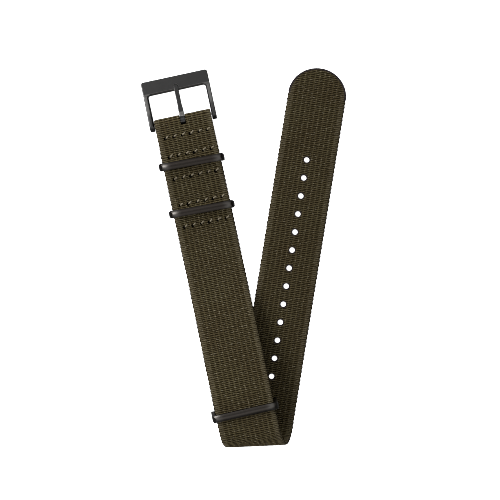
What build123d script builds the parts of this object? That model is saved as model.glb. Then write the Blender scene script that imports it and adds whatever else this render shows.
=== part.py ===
from build123d import *

import os
from math import acos, atan, cos, degrees, pi, radians, sin, tan

# A 20 mm pass-through watch strap of woven webbing, lying on a table the way it is sold: buckle
# flat, front strip on top, rising to a springy loop, tail running off underneath at an angle.
# Frame: +Y runs along the front strip towards the buckle, +X across it, +Z up off the table.
# The origin is the middle of the overall box, on the table. Millimetres and degrees.

# Webbing
strap_width = 20.0
webbing_thick = 1.25
layer_gap = 0.05
loose_gap = 0.3

# The strap's lie, seen from the side, along the middle of the main strap's thickness
rise_past_keeper = 20.68
rise_bend = 40.0
rise_angle = 14.9
crest_bend = 24.0
crest_dip = 9.0
loop_bend = 6.9
tail_run = 123.9
rise_cuts = 2
slope_cuts = 1
crest_cuts = 3
loop_cuts = 12
loop_steps = 64

# The same lie seen from above: how far each leg leans from square to the fold
front_lean = 9.64
tail_lean = 11.75
side_shear = 1.35

# Punched holes in the tail, counted from the tip
hole_diameter = 1.9
hole_pitch = 6.35
hole_count = 13
tip_to_hole = 32.1

# Sewing: the first row from the fold at the buckle, the others from the keepers' pockets
row_a_at = 6.86
row_b_to_pocket = 0.97
row_c_to_pocket = 1.09
row_d_to_pocket = 0.36
row_e_to_pocket = 1.42
row_f_to_pocket = 1.35
row_end_margin = 1.35
stitch_pitch = 2.93
stitch_length = 1.3
stitch_width = 0.5
stitch_height = 0.2
stitch_slant = 18.0
stitch_draft = 30.0
row_offset = 0.85
row_side_margin = 1.2

# Spring bar that the buckle turns on
bar_diameter = 1.5
bar_bore = 1.1
bar_fit = 0.05
bar_end_gap = 0.2
lip_length = 0.4
plunger_length = 3.0
plunger_diameter = 1.0
pivot_diameter = 0.8
pivot_fit = 0.03
pivot_seat = 0.9
seat_spare = 0.15
spring_wire = 0.16
spring_wire_sides = 4
spring_turns = 12
spring_air = 0.05

# Buckle frame
frame_air = 0.15
arm_width = 1.6
frame_length = 17.6
arm_overrun = 1.9
bar_depth = 4.9
bar_height = 1.9
frame_corner = 0.8
window_corner = 0.8
arm_end_corner = 0.5
frame_bevel = 0.45
frame_rounding = 0.35
upper_share = 0.5

# Tongue
tongue_width = 1.5
tongue_root_width = 1.75
tongue_root_past_pin = 4.0
tongue_taper = 1.2
tongue_thick = 0.8
tongue_wall = 0.6
tongue_neck = 0.6
tongue_rounding = 0.2
tongue_overlap = 1.9
tongue_play = 0.05
notch_depth = 0.3
notch_play = 0.2
slot_width = 2.1
slot_corner = 0.6
slot_behind_pin = 1.55

# Keepers
keeper_air = 0.3
keeper_wall = 1.05
keeper_room = 4.0
keeper_face = 1.15
keeper_width = 2.6
keeper_crown = 0.45
keeper_shoulder = 0.75
keeper_corner = 1.5
keeper_end = 0.9
keeper_inner_corner = 0.5
keeper_rounding = 0.3
keeper_skew = 2.0
pocket_slack = 0.7
keeper_1_at = 17.32
keeper_2_at = 33.77
end_keeper_past_crest = 1.5
end_keeper_lean = 30.0
end_keeper_skew = -0.6
end_fold_run = 11.0

# Levels that follow from the sizes above
half = strap_width / 2
bar_radius = bar_diameter / 2
wrap_mid = bar_radius + bar_fit + webbing_thick / 2
wrap_outer = wrap_mid + webbing_thick / 2
pin_z = wrap_outer
main_mid_z = pin_z + wrap_mid
top_z = main_mid_z + webbing_thick / 2
layer_step = webbing_thick + layer_gap
second_rel_z = wrap_mid - layer_step
pin_y = -wrap_outer
turn_in = degrees(acos(1 - (second_rel_z + wrap_mid) / (2 * wrap_mid)))
turn_run = 2 * wrap_mid * sin(radians(turn_in))
dip_half = turn_run + pocket_slack / 2
arm_gap = strap_width + 2 * frame_air
frame_width = arm_gap + 2 * arm_width
keeper_inner = strap_width + 2 * keeper_air
stitches_per_row = round((strap_width - 2 * row_side_margin) / stitch_pitch)

# Where each sewn row lies, from the fold at the buckle
row_b_at = keeper_1_at - dip_half - row_b_to_pocket
row_c_at = keeper_1_at + dip_half + row_c_to_pocket
row_d_at = keeper_2_at - dip_half - row_d_to_pocket
row_e_at = keeper_2_at + dip_half + row_e_to_pocket
flat_run = keeper_2_at + rise_past_keeper

# Side profile of the middle surface after the flat run: stretches as (length, curvature)
rise = radians(rise_angle)
dip = radians(crest_dip)
crest_z = webbing_thick / 2 + loop_bend * (1 + cos(dip)) + crest_bend * (1 - cos(dip))
slope_run = (crest_z - main_mid_z - (rise_bend + crest_bend) * (1 - cos(rise))) / sin(rise)
slope_at = flat_run + rise_bend * rise
crest_at = slope_at + slope_run
loop_at = crest_at + crest_bend * (rise + dip)
loop_run = loop_bend * (pi - dip)
landing_at = loop_at + loop_run
bends = (
    (slope_at - flat_run, 1 / rise_bend),
    (slope_run, 0),
    (loop_at - crest_at, -1 / crest_bend),
    (loop_run, -1 / loop_bend),
)

lean_in = radians(front_lean)
lean_out = radians(tail_lean)
side_travel = loop_run * tan((lean_in + lean_out) / 2) + side_shear
fold_axis = Vector(cos(lean_in), -sin(lean_in), 0)
towards_top = Vector(sin(lean_in), cos(lean_in), 0)


def side_profile(q):
    """How far out, how high and how steep the middle surface is, a length q past the fold."""
    out, height, angle = min(q, flat_run), main_mid_z, 0
    left = max(q - flat_run, 0)
    for length, curve in bends:
        step = min(left, length)
        if curve:
            turned = angle + step * curve
            out += (sin(turned) - sin(angle)) / curve
            height += (cos(angle) - cos(turned)) / curve
            angle = turned
        else:
            out += step * cos(angle)
            height += step * sin(angle)
        left -= step
    return out - left, height, angle


def drift(q):
    """How far the strap's centreline has moved along the fold axis, and its lean there."""
    if q <= loop_at:
        return q * tan(lean_in), lean_in
    share = min((q - loop_at) / loop_run, 1)
    start, end = tan(lean_in) * loop_run, tan(lean_out) * loop_run
    moved = start * (share**3 - 2 * share**2 + share) + end * (share**3 - share**2)
    moved += side_travel * (3 * share**2 - 2 * share**3)
    slope = start * (3 * share**2 - 4 * share + 1) + end * (3 * share**2 - 2 * share)
    slope += side_travel * (6 * share - 6 * share**2)
    past = max(q - landing_at, 0)
    return loop_at * tan(lean_in) + moved + past * tan(lean_out), atan(slope / loop_run)


def fold_point(q, along_fold, lift):
    """A point by its place on the side profile, along the fold axis, and off the middle surface."""
    out, height, angle = side_profile(q)
    flat = fold_axis * along_fold - towards_top * (out - lift * sin(angle))
    return flat + Vector(0, 0, height + lift * cos(angle))


# The overall box, from the buckle's left side, its outer edge, the tail's tip and the loop
tail_heading = radians(front_lean + tail_lean)
landing = fold_point(landing_at, drift(landing_at)[0], 0)
tail_across = Vector(cos(tail_heading), -sin(tail_heading), 0)
tail_along = Vector(sin(tail_heading), cos(tail_heading), 0)
tip_centre = landing + tail_along * (tail_run - half)


def loop_edge(step):
    """A point on the outer face of the loop, at its edge on the tail's side."""
    q = loop_at + loop_run * step / loop_steps
    moved, lean = drift(q)
    return fold_point(q, moved + half / cos(lean), webbing_thick / 2)


box_left = -frame_width / 2
box_right = tip_centre.X + half
box_far = pin_y + frame_length - arm_overrun
box_near = min(loop_edge(step).Y for step in range(loop_steps + 1))
middle = Vector((box_left + box_right) / 2, (box_near + box_far) / 2, 0)
print("origin sits at", middle, "from the middle of the fold at the buckle")


def at(x, y, z):
    """A point given from the fold at the buckle, in the frame of the whole strap."""
    return Vector(x, y, z) - middle


os.makedirs("parts", exist_ok=True)


def save(piece, name):
    """Label a finished piece and write it to its own file."""
    piece.part.label = name
    export_step(piece.part, f"parts/{name}.step")


def section_plane(q, lift):
    """The plane of a cut across the strap along the fold axis."""
    angle = side_profile(q)[2]
    ahead = Vector(0, 0, sin(angle)) - towards_top * cos(angle)
    return Plane(fold_point(q, drift(q)[0], lift) - middle, x_dir=fold_axis, z_dir=ahead)


def strap_bend(start, end, cuts, lift):
    """A smooth length of webbing through equal cuts from one place to another."""
    with BuildPart() as bend:
        for cut in range(cuts + 1):
            q = start + (end - start) * cut / cuts
            with BuildSketch(section_plane(q, lift)):
                Rectangle(strap_width / cos(drift(q)[1]), webbing_thick)
        loft(ruled=cuts == 1)
    return bend.part


def side_plane(x, y, z):
    """The plane that the folded ends are drawn in: away from the buckle, and up."""
    return Plane(at(x, y, z), x_dir=(0, -1, 0), z_dir=(-1, 0, 0))


def flat_length(start, level):
    """Flat webbing from a square cut to the slanted cut where the strap starts to rise."""
    slant = half * tan(lean_in)
    end = flat_run / cos(lean_in)
    with BuildPart() as length:
        with BuildSketch(Plane(at(0, 0, level - webbing_thick / 2))):
            with BuildLine():
                Polyline(
                    (-half, -start),
                    (half, -start),
                    (half, -end - slant),
                    (-half, -end + slant),
                    close=True,
                )
            make_face()
        extrude(amount=webbing_thick)
    return length.part


def leave_pocket(start, bar_at, end):
    """The middle line from under a keeper's rear bar up to the level of the second layer."""
    floor = Line(start, (bar_at + pocket_slack / 2, -wrap_mid))
    up = JernArc(floor @ 1, floor % 1, wrap_mid, turn_in)
    back = JernArc(up @ 1, up % 1, wrap_mid, -turn_in)
    return Line(back @ 1, (end, second_rel_z))


def dip_under_bar(start, bar_at, end):
    """The middle line of the second layer, dipping to hold a keeper's rear bar in its pocket."""
    level = Line(start, (bar_at - dip_half, second_rel_z))
    down = JernArc(level @ 1, level % 1, wrap_mid, -turn_in)
    under = JernArc(down @ 1, down % 1, wrap_mid, turn_in)
    return leave_pocket(under @ 1, bar_at, end)


# Main strap: folded round the spring bar and sewn back on itself past the first keeper
return_end = row_c_at + row_end_margin + pin_y
with BuildPart() as main_strap:
    with BuildSketch(side_plane(half, pin_y, pin_z)):
        with BuildLine():
            over = Line((return_end, wrap_mid), (0, wrap_mid))
            wrap = JernArc(over @ 1, over % 1, wrap_mid, 180 + turn_in)
            inward = JernArc(wrap @ 1, wrap % 1, wrap_mid, -turn_in)
            dip_under_bar(inward @ 1, keeper_1_at + pin_y, return_end)
        trace(line_width=webbing_thick)
    extrude(amount=strap_width)
    add(flat_length(return_end - pin_y, main_mid_z))
    add(strap_bend(flat_run, slope_at, rise_cuts, 0))
    add(strap_bend(slope_at, crest_at, slope_cuts, 0))
    add(strap_bend(crest_at, loop_at, crest_cuts, 0))
    add(strap_bend(loop_at, landing_at, loop_cuts, 0))
    # the tail, from its landing on the table to the round tip, with its line of holes
    with BuildSketch(Plane(landing - middle, x_dir=tail_across, z_dir=(0, 0, 1))):
        with BuildLine():
            shoulder = tail_run - half
            near = Line((-half, -half * tan(lean_out)), (half, half * tan(lean_out)))
            right = Line(near @ 1, (half, shoulder))
            tip = ThreePointArc(right @ 1, (0, tail_run), (-half, shoulder))
            Line(tip @ 1, near @ 0)
        make_face()
        first_hole = tail_run - tip_to_hole
        line_middle = first_hole - hole_pitch * (hole_count - 1) / 2
        with Locations((0, line_middle)):
            with GridLocations(strap_width, hole_pitch, 1, hole_count):
                Circle(hole_diameter / 2, mode=Mode.SUBTRACT)
    extrude(amount=webbing_thick / 2, both=True)
    # the slot that the tongue swings through, cut across the fold
    with BuildSketch(Plane(at(0, pin_y - slot_behind_pin, 0))) as slot:
        slot_run = slot_behind_pin + wrap_outer + webbing_thick
        Rectangle(slot_width, slot_run, align=(Align.CENTER, Align.MIN))
        fillet(slot.vertices().group_by(Axis.Y)[0], radius=slot_corner)
    extrude(amount=top_z + layer_step, mode=Mode.SUBTRACT)
save(main_strap, "main_strap")

# Under strap: the short second layer that carries the lower keeper and the end keeper
under_start = row_d_at - row_end_margin + pin_y
under_level = row_e_at + row_end_margin + pin_y
ease = degrees(acos(1 - (loose_gap - layer_gap) / (2 * rise_bend)))
ease_end = under_level + 2 * rise_bend * sin(radians(ease))
loose_rel_z = second_rel_z - loose_gap + layer_gap
loose_lift = -webbing_thick - loose_gap
up_slope = Vector(0, 0, sin(rise)) - towards_top * cos(rise)
heading = fold_axis * sin(lean_in) + up_slope * cos(lean_in)
slope_up = Vector(0, 0, cos(rise)) + towards_top * sin(rise)
slope_across = slope_up.cross(heading)
end_bar_at = slope_run / cos(lean_in) + end_keeper_past_crest
end_bar = fold_point(slope_at, drift(slope_at)[0], loose_lift - wrap_mid) + heading * end_bar_at
slope_start = fold_point(slope_at, drift(slope_at)[0], loose_lift) - middle
with BuildPart() as under_strap:
    with BuildSketch(side_plane(half, pin_y, pin_z)):
        with BuildLine():
            level = dip_under_bar((under_start, second_rel_z), keeper_2_at + pin_y, under_level)
            sink = JernArc(level @ 1, level % 1, rise_bend, -ease)
            JernArc(sink @ 1, sink % 1, rise_bend, ease)
        trace(line_width=webbing_thick)
    extrude(amount=strap_width)
    add(flat_length(ease_end - pin_y, pin_z + loose_rel_z))
    add(strap_bend(flat_run, slope_at, rise_cuts, loose_lift))
    with BuildSketch(Plane(slope_start, x_dir=slope_across, z_dir=-slope_up)):
        with BuildLine():
            slant = half * tan(lean_in)
            square = end_bar_at - end_fold_run
            Polyline(
                (-half, -slant), (half, slant), (half, square), (-half, square), close=True
            )
        make_face()
    extrude(amount=webbing_thick / 2, both=True)
    fold_side = end_bar - slope_across * half - middle
    with BuildSketch(Plane(fold_side, x_dir=-heading, z_dir=slope_across)):
        with BuildLine():
            over = Line((end_fold_run, wrap_mid), (-pocket_slack / 2, wrap_mid))
            wrap = JernArc(over @ 1, over % 1, wrap_mid, 180)
            leave_pocket(wrap @ 1, 0, end_fold_run)
        trace(line_width=webbing_thick)
    extrude(amount=strap_width)
save(under_strap, "under_strap")


# Sewing: each row of lockstitch is a needle thread on the face and a bobbin thread behind
def stitch_row(name, face, row_y, side):
    """One thread of a row, as the short lengths that show between its needle holes."""
    first = row_offset - stitch_pitch * (stitches_per_row - 1) / 2
    spots = [(first + stitch_pitch * count, row_y) for count in range(stitches_per_row)]
    with BuildPart() as thread:
        with BuildSketch(face):
            with Locations(*[Location((x, y, 0), (0, 0, stitch_slant)) for x, y in spots]):
                Rectangle(stitch_length, stitch_width)
        extrude(amount=side * stitch_height, taper=stitch_draft)
    save(thread, name)


rows = {"a": row_a_at, "b": row_b_at, "c": row_c_at, "d": row_d_at, "e": row_e_at}
second_bottom = pin_z + second_rel_z - webbing_thick / 2
for letter, row_at in rows.items():
    stitch_row(f"needle_thread_{letter}", Plane(at(0, 0, top_z)), -row_at, 1)
    stitch_row(f"bobbin_thread_{letter}", Plane(at(0, 0, second_bottom)), -row_at, -1)
# the last row closes the under strap round the end keeper's rear bar
row_f_back = dip_half + row_f_to_pocket
for name, lift, side in (
    ("needle_thread_f", wrap_mid + webbing_thick / 2, 1),
    ("bobbin_thread_f", second_rel_z - webbing_thick / 2, -1),
):
    face = Plane(end_bar + slope_up * lift - middle, x_dir=slope_across, z_dir=slope_up)
    stitch_row(name, face, row_f_back, side)


# Spring bar: a tube with crimped ends that hold two sprung plungers captive
tube_half = arm_gap / 2 - bar_end_gap
plunger_in = tube_half - lip_length - plunger_length
pivot_end = tube_half + bar_end_gap + pivot_seat
pin_plane = Plane(at(0, pin_y, pin_z), x_dir=(0, 1, 0), z_dir=(1, 0, 0))
with BuildPart() as spring_bar_tube:
    with BuildSketch(pin_plane):
        Circle(bar_radius)
        Circle(bar_bore / 2, mode=Mode.SUBTRACT)
    extrude(amount=tube_half, both=True)
    for side in (-1, 1):
        with BuildSketch(pin_plane.offset(side * tube_half)):
            Circle(bar_radius - spring_air)
            Circle(pivot_diameter / 2 + pivot_fit, mode=Mode.SUBTRACT)
        extrude(amount=-side * lip_length)
save(spring_bar_tube, "spring_bar_tube")

for name, side in (("spring_bar_tip_left", -1), ("spring_bar_tip_right", 1)):
    with BuildPart() as tip_pin:
        with BuildSketch(pin_plane.offset(side * plunger_in)):
            Circle(plunger_diameter / 2)
        extrude(amount=side * plunger_length)
        with BuildSketch(pin_plane.offset(side * plunger_in)):
            Circle(pivot_diameter / 2)
        extrude(amount=side * (pivot_end - plunger_in))
        nose = tip_pin.faces().sort_by(Axis.X)[-1 if side > 0 else 0]
        chamfer(nose.edges(), length=seat_spare)
    save(tip_pin, name)

# the coil spring between the plungers, a little clear of the tube's bore
coil_radius = bar_bore / 2 - spring_air - spring_wire / 2
coil_half = plunger_in - spring_air - spring_wire / 2
with BuildPart() as spring_bar_spring:
    with BuildLine(pin_plane.offset(-coil_half)):
        lead = 2 * coil_half / spring_turns
        coil = Helix(lead, 2 * coil_half, coil_radius, direction=(1, 0, 0))
    with BuildSketch(Plane(coil @ 0, z_dir=coil % 0)):
        RegularPolygon(spring_wire / 2, spring_wire_sides)
    sweep(is_frenet=True)
save(spring_bar_spring, "spring_bar_spring")


def upper_rim(piece, beyond):
    """The edges round a piece's upper faces, each in only one of them, past a place along it."""
    upper = piece.faces().filter_by(lambda face: face.normal_at().Z > upper_share)
    edges = ShapeList([edge for face in upper for edge in face.edges()])
    rim = edges.filter_by(lambda edge: sum(edge.is_same(other) for other in edges) == 1)
    return rim.filter_by(lambda edge: edge.center().Y > at(0, beyond, 0).Y)


# Buckle frame: its outline from above, cut to its outline from the side
far_end = frame_length - arm_overrun
window_end = far_end - bar_depth
tip_at = window_end + tongue_overlap
side_view = Plane(at(0, pin_y, 0), x_dir=(0, 1, 0), z_dir=(1, 0, 0))
with BuildPart() as buckle_frame:
    with BuildSketch(Plane(at(0, pin_y, 0))) as plan:
        with Locations((0, far_end)):
            Rectangle(frame_width, frame_length, align=(Align.CENTER, Align.MAX))
        with Locations((0, window_end)):
            window_align = (Align.CENTER, Align.MAX)
            Rectangle(arm_gap, frame_length, align=window_align, mode=Mode.SUBTRACT)
        fillet(plan.vertices().group_by(Axis.Y)[-1], radius=frame_corner)
        fillet(plan.vertices().group_by(Axis.Y)[1], radius=window_corner)
        fillet(plan.vertices().group_by(Axis.Y)[0], radius=arm_end_corner)
    extrude(amount=pin_z + arm_overrun)
    with BuildSketch(side_view):
        with BuildLine():
            heel = CenterArc((0, pin_z), arm_overrun, 90, 180)
            under = Line(heel @ 1, (window_end, 0))
            foot = Line(under @ 1, (far_end, 0))
            face = Line(foot @ 1, (far_end, bar_height))
            top = Line(face @ 1, (window_end, bar_height))
            Line(top @ 1, heel @ 0)
        make_face()
    extrude(amount=frame_width / 2, both=True, mode=Mode.INTERSECT)
    # a bevel round the window, and the outer edges eased
    window_rim = upper_rim(buckle_frame, pin_y + frame_rounding).filter_by(
        lambda edge: abs(edge.center().X + middle.X) < (arm_gap + arm_width) / 2
        and edge.center().Y < at(0, pin_y + window_end + frame_bevel, 0).Y
    )
    chamfer(window_rim, length=frame_bevel)
    outer_rim = upper_rim(buckle_frame, pin_y + frame_rounding).filter_by(
        lambda edge: abs(edge.center().X + middle.X) > (arm_gap + arm_width) / 2
        or edge.center().Y > at(0, pin_y + window_end + frame_bevel, 0).Y
    )
    fillet(outer_rim, radius=frame_rounding)
    # blind seats for the spring bar's tips, in the inner faces of both arms
    for side in (-1, 1):
        with BuildSketch(pin_plane.offset(side * arm_gap / 2)):
            Circle(pivot_diameter / 2 + pivot_fit)
        extrude(amount=side * (pivot_seat + seat_spare), mode=Mode.SUBTRACT)
    # the notch that the tongue's tip lies in
    with BuildSketch(Plane(at(0, pin_y, bar_height - notch_depth))):
        notch_half = tongue_width / 2 + notch_play
        notch_mouth = window_end - notch_play
        with BuildLine():
            mouth = Line((-notch_half, notch_mouth), (notch_half, notch_mouth))
            right = Line(mouth @ 1, (notch_half, tip_at + notch_play - notch_half))
            round_end = JernArc(right @ 1, right % 1, notch_half, 180)
            Line(round_end @ 1, mouth @ 0)
        make_face()
    extrude(amount=bar_height, mode=Mode.SUBTRACT)
save(buckle_frame, "buckle_frame")

# Tongue: a strip closed round the spring bar, its round tip lying in the notch
tongue_bore = bar_radius + tongue_play
tongue_eye = tongue_bore + tongue_wall
with BuildPart() as buckle_tongue:
    with BuildSketch(pin_plane) as strip:
        Rectangle(tip_at, tongue_thick, align=(Align.MIN, Align.CENTER))
        Circle(tongue_eye)
        fillet(strip.vertices().group_by(Axis.X)[0], radius=tongue_neck)
        Circle(tongue_bore, mode=Mode.SUBTRACT)
    extrude(amount=tongue_root_width / 2, both=True)
    root_half = tongue_root_width / 2
    narrow_half = tongue_width / 2
    with BuildSketch(Plane(at(0, pin_y, 0))):
        with BuildLine():
            root = Line((-root_half, -tongue_eye), (root_half, -tongue_eye))
            broad = Line(root @ 1, (root_half, tongue_root_past_pin))
            taper = Line(broad @ 1, (narrow_half, tongue_root_past_pin + tongue_taper))
            narrow = Line(taper @ 1, (narrow_half, tip_at - narrow_half))
            tip = ThreePointArc(narrow @ 1, (0, tip_at), (-narrow_half, tip_at - narrow_half))
            narrow_left = Line(tip @ 1, (-narrow_half, tongue_root_past_pin + tongue_taper))
            taper_left = Line(narrow_left @ 1, (-root_half, tongue_root_past_pin))
            Line(taper_left @ 1, root @ 0)
        make_face()
    extrude(amount=pin_z + tongue_eye, mode=Mode.INTERSECT)
    fillet(upper_rim(buckle_tongue, pin_y + tongue_eye + tongue_neck), radius=tongue_rounding)
save(buckle_tongue, "buckle_tongue")


def keeper(name, centre, across, up):
    """A keeper: a round rear bar sewn into the webbing, two walls and a domed front bar."""
    out = keeper_inner / 2 + keeper_wall
    front_inside = bar_radius + keeper_room
    top = front_inside + keeper_face
    along = across.cross(up)
    with BuildPart() as ring:
        with BuildSketch(Plane(centre, x_dir=across, z_dir=along)) as outline:
            from_top = (Align.CENTER, Align.MAX)
            with Locations((0, top)):
                Rectangle(2 * out, top + bar_radius, align=from_top)
            with Locations((0, front_inside)):
                Rectangle(keeper_inner, top + bar_radius, align=from_top, mode=Mode.SUBTRACT)
            fillet(outline.vertices().group_by(Axis.Y)[-2], radius=keeper_inner_corner)
            fillet(outline.vertices().group_by(Axis.Y)[-1], radius=keeper_corner)
        extrude(amount=keeper_width / 2, both=True)
        with BuildSketch(Plane(centre, x_dir=along, z_dir=-across)) as silhouette:
            with BuildLine():
                shoulder = (keeper_width / 2, top - keeper_crown)
                crown = ThreePointArc((-keeper_width / 2, top - keeper_crown), (0, top), shoulder)
                wall = Line(crown @ 1, (keeper_width / 2, front_inside - keeper_shoulder))
                leg = Line(wall @ 1, (bar_radius, 0))
                heel = ThreePointArc(leg @ 1, (0, -bar_radius), (-bar_radius, 0))
                leg_left = Line(heel @ 1, (-keeper_width / 2, front_inside - keeper_shoulder))
                Line(leg_left @ 1, crown @ 0)
            make_face()
            crown_foot = top - keeper_crown
            edge_points = silhouette.vertices().filter_by_position(
                Axis.Y, crown_foot - keeper_rounding, crown_foot + keeper_rounding
            )
            fillet(edge_points, radius=keeper_rounding)
        extrude(amount=out, both=True, mode=Mode.INTERSECT)
        # its ends are rounded as seen from the front
        with BuildSketch(Plane(centre, x_dir=across, z_dir=up)):
            RectangleRounded(2 * out, keeper_width, keeper_end)
        extrude(amount=top, both=True, mode=Mode.INTERSECT)
        with BuildSketch(Plane(centre, x_dir=along, z_dir=-across)):
            Circle(bar_radius)
        extrude(amount=keeper_inner / 2, both=True)
    save(ring, name)


skew = radians(keeper_skew)
level_across = Vector(cos(skew), -sin(skew), 0)
keeper("upper_keeper", at(0, -keeper_1_at, pin_z), level_across, Vector(0, 0, 1))
keeper("lower_keeper", at(0, -keeper_2_at, pin_z), level_across, Vector(0, 0, 1))
# the end keeper stands on the slope, its front bar leaning on towards the loop
tilt = radians(end_keeper_lean)
end_skew = radians(end_keeper_skew)
end_across = slope_across * cos(end_skew) + heading * sin(end_skew)
end_along = heading * cos(end_skew) - slope_across * sin(end_skew)
keeper("end_keeper", end_bar - middle, end_across, slope_up * cos(tilt) + end_along * sin(tilt))
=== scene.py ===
from math import acos, cos, pi, radians, sin, tan

import bpy
import numpy as np
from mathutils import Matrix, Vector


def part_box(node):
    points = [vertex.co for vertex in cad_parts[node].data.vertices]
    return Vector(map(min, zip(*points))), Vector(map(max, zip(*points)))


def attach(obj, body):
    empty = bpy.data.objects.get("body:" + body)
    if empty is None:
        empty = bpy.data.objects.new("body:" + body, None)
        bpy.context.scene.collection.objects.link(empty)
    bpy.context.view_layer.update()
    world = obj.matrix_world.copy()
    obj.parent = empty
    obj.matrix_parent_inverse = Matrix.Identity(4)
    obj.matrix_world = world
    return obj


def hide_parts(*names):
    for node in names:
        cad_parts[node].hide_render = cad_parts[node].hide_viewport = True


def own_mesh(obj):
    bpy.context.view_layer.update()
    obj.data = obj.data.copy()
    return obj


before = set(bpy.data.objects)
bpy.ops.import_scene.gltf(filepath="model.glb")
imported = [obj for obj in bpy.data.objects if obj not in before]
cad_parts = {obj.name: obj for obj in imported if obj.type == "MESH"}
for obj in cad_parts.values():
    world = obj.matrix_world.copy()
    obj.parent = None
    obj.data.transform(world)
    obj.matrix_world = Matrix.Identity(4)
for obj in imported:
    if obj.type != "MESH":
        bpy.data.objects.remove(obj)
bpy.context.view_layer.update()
mm = 0.001

# The camera hangs 400 mm above the table and looks straight down, as on a copy stand. It is
# turned a little, so that the front strip leans one way and the tail leans the other.
camera_at = (-9.482 * mm, 1.580 * mm, 400 * mm)
camera_turn = -12.178
view_angle = 24.55
lens = bpy.data.cameras.new("copy_stand_lens")
lens.angle = radians(view_angle)
lens.clip_start = 10 * mm
copy_stand = bpy.data.objects.new("copy_stand_camera", lens)
copy_stand.location = camera_at
copy_stand.rotation_euler = (0, 0, radians(camera_turn))
bpy.context.scene.collection.objects.link(copy_stand)
bpy.context.scene.camera = copy_stand
bpy.context.scene.view_settings.view_transform = "Standard"
bpy.context.scene.cycles.filter_width = 0.9

# The table is a wide white board, and the light is a softbox tent, open at the sides and with a
# hole for the lens: so the metal mirrors a bright ring between a dim top and a dark horizon.
# A broad lamp stands up on the left, and dimmer ones at the far and near ends.
table_reach = 3.0
board_paint = 0.78
board_glow = 0.95
board_in_metal = 0.18
board = bpy.data.meshes.new("white_board")
board.from_pydata(
    [(x * table_reach, y * table_reach, 0) for x, y in ((-1, -1), (1, -1), (1, 1), (-1, 1))],
    [],
    [(0, 1, 2, 3)],
)
table = bpy.data.objects.new("table", board)
bpy.context.scene.collection.objects.link(table)


def reckon(tree, operation, *values):
    """One sum in a material, on numbers or on what other nodes give."""
    node = tree.nodes.new("ShaderNodeMath")
    node.operation = operation
    for socket, value in zip(node.inputs, values):
        if isinstance(value, bpy.types.NodeSocket):
            tree.links.new(value, socket)
        else:
            socket.default_value = value
    return node.outputs[0]


def smooth_between(tree, value, low, high, start=0.0, end=1.0):
    """From start to end, eased, as a value goes from low to high."""
    node = tree.nodes.new("ShaderNodeMapRange")
    node.interpolation_type = "SMOOTHSTEP"
    tree.links.new(value, node.inputs["Value"])
    limits = (("From Min", low), ("From Max", high), ("To Min", start), ("To Max", end))
    for socket, limit in limits:
        node.inputs[socket].default_value = limit
    return node.outputs["Result"]


board_white = bpy.data.materials.new("board_white")
board_white.use_nodes = True
tree = board_white.node_tree
tree.nodes.clear()
path = tree.nodes.new("ShaderNodeLightPath")
matt = tree.nodes.new("ShaderNodeBsdfDiffuse")
matt.inputs["Color"].default_value = (board_paint, board_paint, board_paint, 1)
glow = tree.nodes.new("ShaderNodeEmission")
glow.inputs["Color"].default_value = (1, 1, 1, 1)
seen_glow = reckon(tree, "MULTIPLY", path.outputs["Is Camera Ray"], board_glow)
tree.links.new(seen_glow, glow.inputs["Strength"])
lit_board = tree.nodes.new("ShaderNodeAddShader")
tree.links.new(matt.outputs[0], lit_board.inputs[0])
tree.links.new(glow.outputs[0], lit_board.inputs[1])
in_metal = tree.nodes.new("ShaderNodeBsdfDiffuse")
in_metal.inputs["Color"].default_value = (board_in_metal, board_in_metal, board_in_metal, 1)
both = tree.nodes.new("ShaderNodeMixShader")
tree.links.new(path.outputs["Is Glossy Ray"], both.inputs[0])
tree.links.new(lit_board.outputs[0], both.inputs[1])
tree.links.new(in_metal.outputs[0], both.inputs[2])
out = tree.nodes.new("ShaderNodeOutputMaterial")
tree.links.new(both.outputs[0], out.inputs["Surface"])
board.materials.append(board_white)

tent = bpy.data.worlds.new("softbox_tent")
bpy.context.scene.world = tent
tent.use_nodes = True
tree = tent.node_tree
surround = tree.nodes["Background"]
surround.inputs["Color"].default_value = (1, 1, 1, 1)
surround_light = 0.22
path = tree.nodes.new("ShaderNodeLightPath")
split = tree.nodes.new("ShaderNodeSeparateXYZ")
tree.links.new(tree.nodes.new("ShaderNodeTexCoord").outputs["Generated"], split.inputs[0])
tent_top = smooth_between(tree, split.outputs["Z"], 0.15, 0.80, 0.07, 1.50)
lens_hole = smooth_between(tree, split.outputs["Z"], 0.88, 0.97, 1.0, 0.20)
shown = reckon(tree, "MAXIMUM", path.outputs["Is Camera Ray"], path.outputs["Is Transmission Ray"])
as_light = reckon(tree, "ADD", reckon(tree, "MULTIPLY", shown, 1 - surround_light), surround_light)
glossy = path.outputs["Is Glossy Ray"]
tent_seen = reckon(tree, "MULTIPLY", tent_top, lens_hole)
mirrored_tent = reckon(tree, "MULTIPLY", glossy, tent_seen)
rest = reckon(tree, "MULTIPLY", reckon(tree, "SUBTRACT", 1.0, glossy), as_light)
tree.links.new(reckon(tree, "ADD", mirrored_tent, rest), surround.inputs["Strength"])

# the metal mirrors only the lamp on the left and a dim card in the near one's place
softbox_size = 0.34
for name, place, watts, mirrored in (
    ("key_softbox", (-0.40, 0.18, 0.40), 4.1, True),
    ("far_softbox", (0.06, 0.58, 0.28), 3.5, False),
    ("near_softbox", (-0.10, -0.52, 0.30), 1.3, False),
    ("near_card", (-0.10, -0.52, 0.30), 0.8, True),
):
    lamp = bpy.data.lights.new(name, "AREA")
    lamp.shape = "SQUARE"
    lamp.size = softbox_size
    lamp.energy = watts
    softbox = bpy.data.objects.new(name, lamp)
    softbox.location = place
    softbox.visible_glossy = mirrored
    aim = -softbox.location
    softbox.rotation_euler = aim.to_track_quat("-Z", "Y").to_euler()
    bpy.context.scene.collection.objects.link(softbox)

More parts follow.
